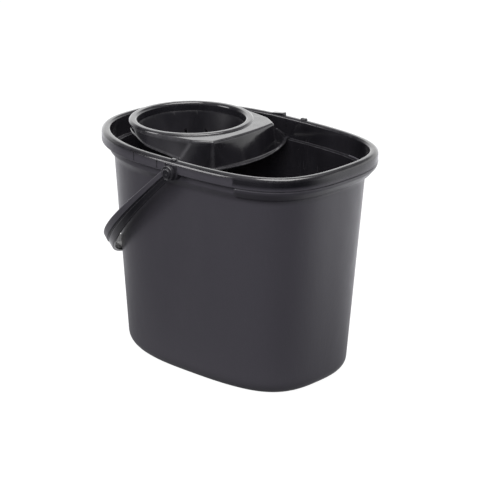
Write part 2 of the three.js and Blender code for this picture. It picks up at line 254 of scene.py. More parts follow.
def grid_piece(
    name: str,
    grid: Array,
    wrap: Wrap,
    marks: Marks,
    start_pole: Array | Point | None = None,
    end_pole: Array | Point | None = None,
) -> Piece:
    """Makes a piece from a grid of points, with a pole closing the first or last row.

    Args:
        name: the object's name.
        grid: points of shape (rows, cols, 3), in millimetres.
        wrap: which ways the grid closes.
        marks: values that broadcast to (rows, cols).
        start_pole: a point that closes the first row, or None.
        end_pole: a point that closes the last row, or None.

    Returns:
        The new object, its faces turned outwards.
    """
    rows, cols = grid.shape[:2]
    points = grid.reshape(-1, 3)
    faces = grid_faces(rows, cols, wrap).tolist()
    values = {key: np.broadcast_to(value, (rows, cols)).reshape(-1) for key, value in marks.items()}
    for pole, row in ((start_pole, 0), (end_pole, rows - 1)):
        if pole is None:
            continue
        hub = len(points)
        points = np.vstack([points, np.asarray(pole, float)[None]])
        ring = row * cols + np.arange(cols)
        faces += np.stack([np.full(cols, hub), ring, np.roll(ring, -1)], 1).tolist()
        values = {key: np.append(value, value[ring].mean()) for key, value in values.items()}
    obj = make_mesh(name, points, faces, values)
    turn_out(obj)
    return obj


def turn_out(obj: Piece, weld: float = 0.0) -> None:
    """Welds close points if asked, and turns every face outwards.

    Args:
        obj: the mesh object.
        weld: the distance in millimetres under which points become one, or 0.
    """
    work = bmesh.new()
    work.from_mesh(obj.data)
    if weld > 0:
        bmesh.ops.remove_doubles(work, verts=work.verts, dist=weld * MM)
    bmesh.ops.recalc_face_normals(work, faces=work.faces)
    work.to_mesh(obj.data)
    work.free()
    obj.data.shade_smooth()


def thicken(obj: Piece, thickness: float, offset: float, bevel: float = 0.0, even: bool = True) -> None:
    """Gives a sheet a wall with Solidify, and a small Bevel on its rim edges.

    Args:
        obj: the sheet.
        thickness: the wall in millimetres.
        offset: -1 grows the wall behind the faces, 1 in front.
        bevel: the bevel width in millimetres, or 0.
        even: keeps the wall's thickness over corners.
    """
    wall = obj.modifiers.new("wall", "SOLIDIFY")
    wall.thickness = thickness * MM
    wall.offset = offset
    wall.use_even_offset = even
    wall.use_quality_normals = True
    if bevel > 0:
        soft = obj.modifiers.new("edge", "BEVEL")
        soft.width = bevel * MM
        soft.segments = 2
        soft.limit_method = "ANGLE"
        soft.angle_limit = math.radians(50)
        soft.harden_normals = False


def turned(profile: Array, centre: Point, axis: Axis, count: int) -> Array:
    """Turns a profile of (radius, height) about an axis, as a lathe does.

    Args:
        profile: points of shape (rows, 2).
        centre: a point on the axis.
        axis: the axis that height runs along.
        count: points around.

    Returns:
        A grid of shape (rows, count, 3).
    """
    angle = np.linspace(0, 2 * np.pi, count, endpoint=False)
    radius, height = profile[:, :1], profile[:, 1:]
    across, up = radius * np.cos(angle), radius * np.sin(angle)
    level = np.broadcast_to(height, across.shape)
    order = (across, level, up) if axis is Axis.Y else (across, up, level)
    return np.stack(order, -1) + np.array(centre)


def lathe_ring(name: str, section: Array, x: float, around: int) -> Piece:
    """Turns a closed section about an upright axis.

    Args:
        name: the object's name.
        section: points of (radius, height).
        x: where the axis stands.
        around: points around.

    Returns:
        The closed ring.
    """
    marks = {"edge": edge_strength(section, closed=True)[:, None], "polish_and_shade": 1.0}
    return grid_piece(name, turned(section, (x, 0, 0), Axis.Z, around), Wrap.BOTH, marks)


def lathe_boss(name: str, section: Array, pivot: Pair, side: Side, polish_and_shade: float) -> Piece:
    """Turns a section about a pivot's axis; its first and last points are the poles.

    Args:
        name: the first part of the object's name.
        section: points of (radius, distance out along Y).
        pivot: x and z of the axis.
        side: which long side.
        polish_and_shade: its polish value.

    Returns:
        The closed boss.
    """
    x, z = pivot
    grid = turned(section[1:-1], (x, 0, z), Axis.Y, BOSS_AROUND)
    grid[..., 1] *= side.value
    marks = {"edge": edge_strength(section, closed=False)[1:-1, None], "polish_and_shade": polish_and_shade}
    first, last = ((x, side.value * section[end, 1], z) for end in (0, -1))
    return grid_piece(f"{name}_{side.name.lower()}", grid, Wrap.COLS, marks, first, last)


# ---------------------------------------------------------------- shader helpers


class NodeSheet:
    """A short way to add and join shader nodes in one tree."""

    def __init__(self, tree: Tree) -> None:
        """Keeps the tree to work in."""
        self.tree = tree

    def add(self, kind: str, **settings: object) -> bpy.types.Node:
        """Adds a node.

        Args:
            kind: the node's bl_idname.
            settings: properties, or socket values given as in_NAME with spaces as underscores.

        Returns:
            The new node.
        """
        node = self.tree.nodes.new(kind)
        for key, value in settings.items():
            if key.startswith("in_"):
                self.feed(node, key[3:].replace("_", " "), value)
            else:
                setattr(node, key, value)
        return node

    def feed(self, node: bpy.types.Node, socket: str | int, value: object) -> None:
        """Sets a socket to a value, or joins an output to it.

        Args:
            node: the node.
            socket: the input's name or number.
            value: a plain value or an output socket.
        """
        target = node.inputs[int(socket) if str(socket).isdigit() else socket]
        if isinstance(value, Socket):
            self.tree.links.new(value, target)
        else:
            target.default_value = value

    def math(self, operation: str, a: object, b: object = 0.0, clamp: bool = False) -> Socket:
        """A Math node of two inputs.

        Args:
            operation: its operation.
            a: the first input.
            b: the second input.
            clamp: keeps the result from 0 to 1.

        Returns:
            Its output.
        """
        node = self.add("ShaderNodeMath", operation=operation, use_clamp=clamp)
        self.feed(node, 0, a)
        self.feed(node, 1, b)
        return node.outputs[0]

    def spread(self, value: object, low: float, high: float, to_low: float, to_high: float) -> Socket:
        """A clamped, smooth-stepped Map Range.

        Args:
            value: what is mapped.
            low: the value that gives to_low.
            high: the value that gives to_high.
            to_low: the result at low.
            to_high: the result at high.

        Returns:
            Its output.
        """
        node = self.add("ShaderNodeMapRange", interpolation_type="SMOOTHSTEP")
        for index, item in enumerate((value, low, high, to_low, to_high)):
            self.feed(node, index, item)
        return node.outputs[0]

    def blend(self, amount: object, a: object, b: object) -> Socket:
        """Mixes two colours.

        Args:
            amount: the share of the second one.
            a: the first colour.
            b: the second colour.

        Returns:
            The mixed colour.
        """
        node = self.add("ShaderNodeMix", data_type="RGBA")
        for socket, value in ((0, amount), (6, a), (7, b)):
            self.feed(node, socket, value)
        return node.outputs[2]

    def noise(self, place: object, scale: object, detail: float, **more: object) -> Socket:
        """A Noise texture; gives back its value."""
        return self.add("ShaderNodeTexNoise", in_Vector=place, in_Scale=scale, in_Detail=detail, **more).outputs[0]

    def bump(self, distance: float, height: object, **more: object) -> Socket:
        """A Bump at full strength; gives back its normal."""
        return self.add("ShaderNodeBump", in_Strength=1.0, in_Distance=distance, in_Height=height, **more).outputs[0]

    def along(self, place: object, azimuth: float) -> Socket:
        """How far a place lies along a level direction.

        Args:
            place: the place.
            azimuth: the direction, in radians.

        Returns:
            The distance.
        """
        node = self.add("ShaderNodeVectorMath", operation="DOT_PRODUCT")
        self.feed(node, 0, place)
        self.feed(node, 1, (math.sin(azimuth), -math.cos(azimuth), 0.0))
        return node.outputs["Value"]


def new_group(name: str, output: str, **inputs: float) -> tuple[Tree, NodeSheet, list[Socket]]:
    """Starts a shader node group of one vector, some numbers and one number out.

    Args:
        name: the group's name.
        output: the name of its output.
        inputs: names of the numbers, with spaces as underscores, and their first values.

    Returns:
        The group, a sheet to fill it with, and its inputs, the vector first.
    """
    tree = bpy.data.node_groups.new(name, "ShaderNodeTree")
    tree.interface.new_socket("Vector", in_out="INPUT", socket_type="NodeSocketVector")
    for key, first in inputs.items():
        socket = tree.interface.new_socket(key.replace("_", " "), in_out="INPUT", socket_type="NodeSocketFloat")
        socket.default_value = first
    tree.interface.new_socket(output, in_out="OUTPUT", socket_type="NodeSocketFloat")
    sheet = NodeSheet(tree)
    return tree, sheet, list(sheet.add("NodeGroupInput").outputs)[: len(inputs) + 1]


def new_material(name: str) -> tuple[bpy.types.Material, NodeSheet]:
    """Starts a material with an empty node tree.

    Args:
        name: the material's name.

    Returns:
        The material and a sheet to fill it with.
    """
    material = bpy.data.materials.new(name)
    material.use_nodes = True
    material.node_tree.nodes.clear()
    return material, NodeSheet(material.node_tree)


class PlasticEffects:
    """The node groups that the moulded plastics share."""

    def __init__(self) -> None:
        """Builds each group once."""
        self.grain = self._grain()
        self.flow = self._flow()
        self.scuffs = self._scuffs()
        self.rub = self._rub()
        self.line = self._line()

    def _grain(self) -> Tree:
        """Fine spark-eroded texture, a height of about 0 to 1: a fine noise with a share of a cell pattern added.

        Returns:
            The group.
        """
        tree, sheet, (place, pitch, cells) = new_group("mould_grain", "Height", Pitch=900.0, Cells=0.4)
        fine = sheet.noise(place, pitch, 3.0, in_Roughness=0.62)
        cell = sheet.add("ShaderNodeTexVoronoi", in_Vector=place, in_Scale=pitch, feature="SMOOTH_F1")
        share = sheet.math("MULTIPLY", cell.outputs["Distance"], cells)
        sheet.add("NodeGroupOutput", in_Height=sheet.math("ADD", fine, share))
        return tree

    def _flow(self) -> Tree:
        """Cloudy flow of the melt, from 0 to 1: slow noise stretched along the wall.

        Returns:
            The group.
        """
        tree, sheet, (place, scale, contrast) = new_group("melt_flow", "Value", Scale=14.0, Contrast=1.0)
        stretch = sheet.add("ShaderNodeMapping", in_Vector=place, in_Scale=(1.0, 1.0, 0.45)).outputs[0]
        slow = sheet.noise(stretch, scale, 4.0, in_Roughness=0.55, in_Distortion=0.6)
        scaled = sheet.math("MULTIPLY", sheet.math("SUBTRACT", slow, 0.5), contrast)
        sheet.add("NodeGroupOutput", in_Value=sheet.math("ADD", scaled, 0.5, clamp=True))
        return tree

    def _scuffs(self) -> Tree:
        """Hairline scuffs: thin lines where a warped, stretched noise crosses its middle, thinned by patches.

        Returns:
            The group.
        """
        tree, sheet, (place, scale, cover) = new_group("hair_scuffs", "Mask", Scale=30.0, Cover=0.5)
        lean = sheet.add(
            "ShaderNodeMapping", in_Vector=place, in_Rotation=(0.35, 0.2, 0.5), in_Scale=(3.2, 3.2, 0.35)
        ).outputs[0]
        warp = sheet.noise(lean, scale, 2.0, in_Distortion=1.4)
        line = sheet.spread(sheet.math("ABSOLUTE", sheet.math("SUBTRACT", warp, 0.5)), 0.0, 0.012, 1.0, 0.0)
        shown = sheet.spread(sheet.noise(place, 17.0, 2.0), 0.5, 0.68, 0.0, 1.0)
        both = sheet.math("MULTIPLY", sheet.math("MULTIPLY", line, shown), cover)
        sheet.add("NodeGroupOutput", in_Mask=both)
        return tree

    def _rub(self) -> Tree:
        """Rubbed edges, from 0 to 1: the piece's edge attribute broken up by noise; it is edge wear, and on the
        wringer apron's marked creases and edges a painted highlight.

        Returns:
            The group.
        """
        tree, sheet, (place, edge, amount) = new_group("edge_rub_and_glint", "Mask", Edge=0.0, Amount=0.6)
        patchy = sheet.spread(sheet.noise(place, 95.0, 5.0, in_Roughness=0.7), 0.36, 0.66, 0.25, 1.0)
        mask = sheet.math("MULTIPLY", sheet.math("MULTIPLY", edge, patchy), amount, clamp=True)
        sheet.add("NodeGroupOutput", in_Mask=mask)
        return tree

    def _line(self) -> Tree:
        """A thin witness line across the skirt at one place along X, within a band of heights, from 0 to 1.

        Returns:
            The group.
        """
        tree, sheet, (spot, place, half_width, low, high, out) = new_group(
            "witness_line", "Mask", Place=0.0, Half_width=0.0007, Low=0.0, High=1.0, Out=0.1
        )
        x, y, z = sheet.add("ShaderNodeSeparateXYZ", in_0=spot).outputs
        thin = sheet.math("LESS_THAN", sheet.math("ABSOLUTE", sheet.math("SUBTRACT", x, place)), half_width)
        band = sheet.math("MULTIPLY", thin, sheet.math("GREATER_THAN", z, low))
        outside = sheet.math("GREATER_THAN", sheet.math("ABSOLUTE", y), out)
        mask = sheet.math("MULTIPLY", band, sheet.math("MULTIPLY", sheet.math("LESS_THAN", z, high), outside))
        sheet.add("NodeGroupOutput", in_Mask=mask)
        return tree


@dataclass(frozen=True)
class MouldedPlastic:
    """One moulded finish: a satin, grained skin that turns to a polished one where the mould is polished; on the
    bucket's tipping end and ledge the polish value also paints shade, and on the wringer's apron the edge value
    paints highlights.
    """

    name: str
    satin_color: Point = (0.050, 0.0475, 0.056)
    gloss_color: Point = (0.0035, 0.0034, 0.0045)
    rub_color: Point = (0.11, 0.108, 0.115)
    satin_rough: float = 0.36
    gloss_rough: float = 0.13
    grain_depth: float = 0.00006
    wave_depth: float = 0.0006
    grain_pitch: float = 850.0
    rub: float = 0.45
    scuff: float = 0.5
    specular: float = 0.5
    witness_places: tuple[float, ...] = ()
    witness_band: Pair = (0.2705, 0.2815)
    cloud_color: Point = (0.066, 0.063, 0.072)
    cloud_share: float = 0.18
    speckle_share: float = 0.10
    scuff_share: float = 0.22
    rub_share: float = 0.5
    worn_rough: float = 0.12
    polish_flattens: float = 0.82

    def build(self, effects: PlasticEffects) -> bpy.types.Material:
        """Builds the material.

        Args:
            effects: the shared node groups.

        Returns:
            The material, reading Object coordinates and the attributes edge and polish.
        """
        material, sheet = new_material(self.name)
        place = sheet.add("ShaderNodeTexCoord").outputs["Object"]
        edge = sheet.add("ShaderNodeAttribute", attribute_name="edge").outputs["Fac"]
        polish_and_shade = sheet.add("ShaderNodeAttribute", attribute_name="polish_and_shade").outputs["Fac"]
        flow = self._use(sheet, effects.flow, Vector=place, Scale=13.0, Contrast=1.1)
        fine_flow = self._use(sheet, effects.flow, Vector=place, Scale=70.0, Contrast=1.0)
        grain = self._use(sheet, effects.grain, Vector=place, Pitch=self.grain_pitch, Cells=0.35)
        scuff = self._use(sheet, effects.scuffs, Vector=place, Scale=26.0, Cover=self.scuff)
        rub = self._use(sheet, effects.rub, Vector=place, Edge=edge, Amount=self.rub)
        # The gloss colour is near black: the polished finish, and painted shade where the polish value marks the
        # bucket's tipping end and ledge.
        base = sheet.blend(polish_and_shade, (*self.satin_color, 1), (*self.gloss_color, 1))
        clouded = sheet.blend(sheet.spread(flow, 0.2, 0.8, 0.0, self.cloud_share), base, (*self.cloud_color, 1))
        speckle = sheet.blend(sheet.spread(grain, 0.35, 0.95, 0.0, self.speckle_share), clouded, (0.0, 0.0, 0.0, 1))
        scuffed = sheet.blend(sheet.math("MULTIPLY", scuff, self.scuff_share), speckle, (*self.rub_color, 1))
        # Lightens edges towards the rub colour: edge wear, and painted highlights where the apron's edge values mark
        # its creases and edges.
        rubbed_and_glinting = sheet.blend(sheet.math("MULTIPLY", rub, self.rub_share), scuffed, (*self.rub_color, 1))
        rough = sheet.spread(polish_and_shade, 0.0, 1.0, self.satin_rough, self.gloss_rough)
        cloudy = sheet.math("ADD", rough, sheet.spread(fine_flow, 0.15, 0.85, -0.045, 0.055))
        wear = sheet.math("MULTIPLY", sheet.math("MAXIMUM", rub, scuff), self.worn_rough)
        worn = sheet.math("ADD", cloudy, wear, clamp=True)
        still = sheet.math("SUBTRACT", 1.0, sheet.math("MULTIPLY", polish_and_shade, self.polish_flattens))
        grain_bump = sheet.bump(self.grain_depth, sheet.math("MULTIPLY", grain, still))
        normal = sheet.bump(self.wave_depth, flow, in_Normal=grain_bump)
        low, high = self.witness_band
        for spot in self.witness_places:
            mask = self._use(
                sheet, effects.line, Vector=place, Place=spot, Half_width=0.0006, Low=low, High=high, Out=0.1
            )
            normal = sheet.bump(0.0008, mask, invert=True, in_Normal=normal)
            rubbed_and_glinting = sheet.blend(mask, rubbed_and_glinting, (0.002, 0.002, 0.002, 1))
        shader = sheet.add("ShaderNodeBsdfPrincipled", in_Base_Color=rubbed_and_glinting, in_Roughness=worn, in_Normal=normal)
        shader.inputs["IOR"].default_value = PLASTIC_IOR
        shader.inputs["Specular IOR Level"].default_value = self.specular
        sheet.add("ShaderNodeOutputMaterial", in_Surface=shader.outputs[0])
        return material

    @staticmethod
    def _use(sheet: NodeSheet, group: Tree, **values: object) -> Socket:
        """Places a group with its values.

        Args:
            sheet: the material's sheet.
            group: the node group.
            values: socket name, with spaces as underscores, to value or output.

        Returns:
            The group's first output.
        """
        node = sheet.add("ShaderNodeGroup", node_tree=group)
        for key, value in values.items():
            sheet.feed(node, key.replace("_", " "), value)
        return node.outputs[0]


@dataclass(frozen=True)
class FloorFinish:
    """Plain pale studio floor: white to the eye, and falling to grey in front for what it lends to gloss."""

    name: str = "studio_floor"
    lit: Point = (0.9, 0.9, 0.91)
    front: Point = (0.035, 0.035, 0.042)
    behind: Point = (1.5, 1.5, 1.56)
    lift: float = 0.84

    def build(self, azimuth: float) -> bpy.types.Material:
        """Builds the floor's material.

        Args:
            azimuth: the direction of the white sweep behind, in radians.

        Returns:
            The material.
        """
        material, sheet = new_material(self.name)
        place = sheet.add("ShaderNodeTexCoord").outputs["Object"]
        side = sheet.spread(sheet.along(place, azimuth), -0.55, 0.25, 0.0, 1.0)
        lent = sheet.blend(side, (*self.behind, 1), (*self.front, 1))
        seen = sheet.add("ShaderNodeLightPath").outputs["Is Camera Ray"]
        plain = sheet.add("ShaderNodeBsdfDiffuse", in_Color=(*self.lit, 1))
        bright = sheet.add("ShaderNodeEmission", in_Color=(1.0, 1.0, 1.0, 1), in_Strength=1.14)
        shown = sheet.add("ShaderNodeMixShader", in_0=self.lift, in_1=plain.outputs[0], in_2=bright.outputs[0])
        glow = sheet.add("ShaderNodeEmission", in_Color=lent, in_Strength=1.0)
        whole = sheet.add("ShaderNodeMixShader", in_0=seen, in_1=glow.outputs[0], in_2=shown.outputs[0])
        sheet.add("ShaderNodeOutputMaterial", in_Surface=whole.outputs[0])
        return material


# ---------------------------------------------------------------- the oval and the bucket


@dataclass(frozen=True)
class Oval:
    """The egg-shaped superellipse that the bucket's wall follows, tapering from top to base."""

    height: float = 284.0
    skirt_drop: float = 15.0
    top: Pair = (167.0, 106.5)
    base: Pair = (146.0, 90.0)
    power: Pair = (2.85, 2.7)
    egg: Pair = (0.10, 0.18)
    rim_reach: float = 13.0

    def at(self, angle: Array, z: Array, reach: Array, scale: Array | float = 1.0) -> Array:
        """Points of the oval.

        x is half length times cos to the power 2/n and y is half width times sin to the power 2/n, both signed;
        the half width swells by egg times the cube of the position along X, and reach is added to both halves.

        Args:
            angle: the superellipse parameter.
            z: heights, in a shape that broadcasts with angle.
            reach: growth outwards.
            scale: a factor on x and y.

        Returns:
            Points with a last axis of 3.
        """
        t = np.clip(z / (self.height - self.skirt_drop), 0, 1)
        half_length = self.base[0] + (self.top[0] - self.base[0]) * t
        half_width = self.base[1] + (self.top[1] - self.base[1]) * t
        power = self.power[0] + (self.power[1] - self.power[0]) * t
        egg = self.egg[0] + (self.egg[1] - self.egg[0]) * t
        along = np.sign(np.cos(angle)) * np.abs(np.cos(angle)) ** (2 / power)
        across = np.sign(np.sin(angle)) * np.abs(np.sin(angle)) ** (2 / power)
        swell = 1 + egg * along**3
        x = (half_length + reach) * along * scale
        y = (half_width * swell + reach) * across * scale
        return np.stack(np.broadcast_arrays(x, y, z), -1)

    def angles(self, count: int, low: float = 0.0, high: float = 2 * math.pi, closed: bool = True) -> Array:
        """Parameters that space points evenly along the rim.

        Args:
            count: how many.
            low: the first parameter.
            high: the last parameter.
            closed: leaves out the last one, which would repeat the first.

        Returns:
            An array of shape (count,).
        """
        dense = np.linspace(low, high, 6001)
        ring = self.at(dense, np.array(self.height), np.array(self.rim_reach))
        along = np.r_[0, np.cumsum(np.linalg.norm(np.diff(ring, axis=0), axis=1))]
        wanted = np.linspace(0, along[-1], count + 1)[:-1] if closed else np.linspace(0, along[-1], count)
        return np.interp(wanted, along, dense)


@dataclass
class Moulding:
    """A moulding of several pieces that ride on one body."""

    effects: PlasticEffects
    body: str = ""
    slot: str = ""

    def dress(self, pieces: list[Piece], finish: MouldedPlastic) -> list[Piece]:
        """Gives pieces their finish and sets them on the body.

        Args:
            pieces: the pieces.
            finish: their finish.

        Returns:
            The same pieces.
        """
        material = finish.build(self.effects)
        for piece in pieces:
            piece.data.materials.clear()
            piece.data.materials.append(material)
            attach(piece, self.body)
        return pieces


@dataclass
class BucketMoulding(Moulding):
    """The bucket: wall, base, rolled rim, shelf, ears, tipping ledge and stop block."""

    oval: Oval = field(default_factory=Oval)
    wall: float = 2.7
    floor: float = 3.0
    base_radius: float = 24.0
    shelf_z: float = 258.0
    ledge_from_x: float = 102.0
    pivot: Pair = (12.0, 270.0)
    ear_radius: float = 10.0
    ear_face: float = 120.4
    ear_root: float = 110.4
    bore: float = 4.7
    ledge_z: Pair = (252.0, 268.5)
    nib_y: float = 115.2
    stop_x: float = -25.0
    stop_y: float = 114.0
    around: int = 320
    body: str = "bucket"
    slot: str = "body_plastic"

    def profile(self) -> Array:
        """The wall's section, from the middle of the underside, out, over the rim and in again.

        Returns:
            Points of (reach, z).
        """
        top, drop = self.oval.height, self.oval.height - self.oval.skirt_drop
        reach = self.oval.rim_reach
        return rounded(
            [
                (-72, 0, 0), (-62, 0, 0.6), (-60, 1.6, 0.8), (-40, 1.6, 0.8), (-38, 0, 0.6),
                (0, 0, self.base_radius), (0, self.shelf_z - 8, 12), (5.4, self.shelf_z + 1, 5),
                (5.4, top - 4, 0.8), (reach - 2.6, top - 4, 0.8), (reach - 2.6, drop, 0.7), (reach, drop, 1.1),
                (reach, top, 5.2), (2.8, top, 3.2), (2.8, self.shelf_z, 0.6), (-self.wall, self.shelf_z, 0.7),
                (-self.wall, self.floor, 22), (-70, self.floor, 0),
            ],
            steps=8,
            spacing=8.0,
        )

    def build_shell(self) -> Piece:
        """Sweeps the section round the oval and closes it at the middle of the base.

        Returns:
            The closed shell.
        """
        path = self.profile()
        angle = self.oval.angles(self.around)[None, :]
        reach, z = path[:, :1], path[:, 1:]
        grid = self.oval.at(angle, z, reach)
        inside = np.arange(len(path))[:, None] > int(np.argmax(path[:, 1]))
        crest = np.clip((z - (self.oval.height - 6)) / 3.0, 0, 1)
        skirt = np.clip((z - (self.shelf_z + 13)) / 2.5, 0, 1)
        # Past ledge_from_x the skirt's face gets polish and so the near-black gloss colour: a gloss finish there, and
        # painted shade over the tipping end.
        ledge_end_shade = np.clip((grid[..., 0] - self.ledge_from_x) / 2.0, 0, 1)
        polish_and_shade = np.where(inside, 1.0, np.maximum(crest, skirt * ledge_end_shade))
        marks = {"edge": edge_strength(path, closed=False)[:, None], "polish_and_shade": polish_and_shade}
        shell = grid_piece("bucket_shell", grid, Wrap.COLS, marks, (0, 0, 0), (0, 0, self.floor))
        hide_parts("bucket_body")
        return shell

    def build_ledge(self) -> Piece:
        """Carries the tipping ledge's section round the +X end, drawn in to nothing at both ends.

        Returns:
            The closed ledge.
        """
        bottom, top = self.ledge_z
        section = rounded(
            [
                (2.4, 259.0, 0), (0.2, 252.5, 1.0), (6.0, bottom + 4, 6.0), (11.7, top - 4.6, 4.0),
                (12.6, top - 1.2, 1.2), (11.4, top, 0.8), (4.2, top, 0.3), (4.2, 259.6, 0),
            ],
            steps=5,
            spacing=3.0,
        )
        dense = np.linspace(-math.pi / 2, math.pi / 2, DENSE)
        x = self.oval.at(dense, np.array(top), np.array(10.0))[:, 0]
        limit = float(np.abs(dense[x > self.ledge_from_x]).max())
        angle = self.oval.angles(190, -limit, limit, closed=False)[:, None]
        count = angle.shape[0]
        centre = np.array([3.4, 260.0])
        run = np.minimum(np.arange(count), np.arange(count)[::-1])[:, None] / 2.0
        grow = np.sqrt(np.clip(1 - (1 - np.clip(run + 0.04, 0, 1)) ** 2, 0, 1))
        reach, z = (centre[k] + (section[None, :, k] - centre[k]) * (0.55 + 0.45 * grow) for k in (0, 1))
        grid = self.oval.at(angle, z, reach)
        # Polish 0.25 pulls the ledge's colour towards the gloss black: painted shade under the rim's lip.
        marks = {"edge": edge_strength(section, closed=True)[None, :], "polish_and_shade": 0.25}
        return grid_piece("tipping_ledge", grid, Wrap.COLS, marks, grid[0].mean(0), grid[-1].mean(0))

    def build_ear(self, side: Side) -> Piece:
        """Turns a pivot boss about Y, with a blind bore in its face.

        Args:
            side: which long side.

        Returns:
            The closed boss.
        """
        section = rounded(
            [
                (0, self.ear_root, 0), (self.ear_radius, self.ear_root, 0.4),
                (self.ear_radius, self.ear_face, 1.0), (self.bore, self.ear_face, 0.5),
                (self.bore, self.ear_root + 1, 0.4), (0, self.ear_root + 1, 0),
            ],
            steps=5,
            spacing=2.5,
        )
        return lathe_boss("pivot_ear", section, self.pivot, side, polish_and_shade=0.8)

    def build_web(self, side: Side) -> Piece:
        """A rounded block that ties a pivot boss up to the rim.

        Args:
            side: which long side.

        Returns:
            The closed block.
        """
        x, z = self.pivot
        top = self.oval.height - 3.4
        middle = (self.ear_root + self.ear_face) / 2
        return rounded_block(
            f"ear_web_{side.name.lower()}",
            (x, side.value * middle, (z + top) / 2),
            (self.ear_radius, (self.ear_face - self.ear_root) / 2, (top - z) / 2),
            corner=1.0,
            polish_and_shade=0.8,
        )

    def build_nib(self, side: Side) -> Piece:
        """The small raised nib on the rim over a pivot.

        Args:
            side: which long side.

        Returns:
            The closed nib.
        """
        centre = (self.pivot[0] + 1.0, side.value * self.nib_y, self.oval.height - 0.2)
        return rounded_block(f"pivot_nib_{side.name.lower()}", centre, (4.2, 2.6, 2.2), corner=1.4, polish_and_shade=1.0)

    def build_stop(self) -> Piece:
        """The raised stop on the far rim: a ramp that climbs towards the bail's pivot.

        A rounded block whose upper half is lowered by a share that grows linearly away from the pivot.

        Returns:
            The closed ramp.
        """
        top = self.oval.height
        middle = (self.stop_x - 3, self.stop_y, top + 1.5)
        block = rounded_block("rim_stop_ramp", middle, (10.0, 3.5, 3.5), corner=1.3, polish_and_shade=1.0)
        spots = np.empty(len(block.data.vertices) * 3)
        block.data.vertices.foreach_get("co", spots)
        spots = spots.reshape(-1, 3)
        slope = np.clip((self.stop_x + 7.0 - spots[:, 0] / MM) / 20.0, 0, 1)
        upper = spots[:, 2] > top * MM
        spots[:, 2] = np.where(upper, top * MM + (spots[:, 2] - top * MM) * (0.66 - 0.52 * slope), spots[:, 2])
        block.data.vertices.foreach_set("co", spots.ravel())
        block.data.update()
        return block

    def build(self) -> list[Piece]:
        """Builds, dresses and mounts every piece of the bucket.

        Returns:
            The pieces.
        """
        pieces = [self.build_shell(), self.build_ledge(), self.build_stop()]
        for side in Side:
            pieces += [self.build_ear(side), self.build_web(side), self.build_nib(side)]
        finish = MouldedPlastic("bucket_plastic", witness_places=(-0.0115, -0.052))
        return self.dress(pieces, finish)


def rounded_block(name: str, centre: Point, half: Point, corner: float, polish_and_shade: float) -> Piece:
    """A block with rounded edges, worked out from the directions of a sphere.

    Every direction d(u, v) of a latitude and longitude grid is stretched six times and clipped to a unit cube,
    which gives a place on the cube drawn in by the corner radius; the radius times d is then added to it.

    Args:
        name: the object's name.
        centre: the middle of the block.
        half: its half sizes.
        corner: the radius of its edges.
        polish_and_shade: its polish value.

    Returns:
        The closed block.
    """
    stretch, rows, cols = 6.0, 41, 80
    rise = (np.linspace(-math.pi / 2, math.pi / 2, rows + 2)[1:-1])[:, None]
    turn = (np.arange(cols) * 2 * math.pi / cols)[None, :]
    way = np.stack(np.broadcast_arrays(np.cos(rise) * np.cos(turn), np.cos(rise) * np.sin(turn), np.sin(rise)), -1)
    core = np.array(half) - corner
    grid = np.array(centre) + core * np.clip(stretch * way, -1, 1) + corner * way
    gap = np.sort(np.array(half) - np.abs(grid - np.array(centre)), axis=-1)[..., 1]
    marks = {"edge": np.clip(1 - gap / (corner * 1.2), 0, 1), "polish_and_shade": polish_and_shade}
    drop = np.array([0.0, 0.0, half[2]])
    return grid_piece(name, grid, Wrap.COLS, marks, np.array(centre) - drop, np.array(centre) + drop)


# ---------------------------------------------------------------- the bail


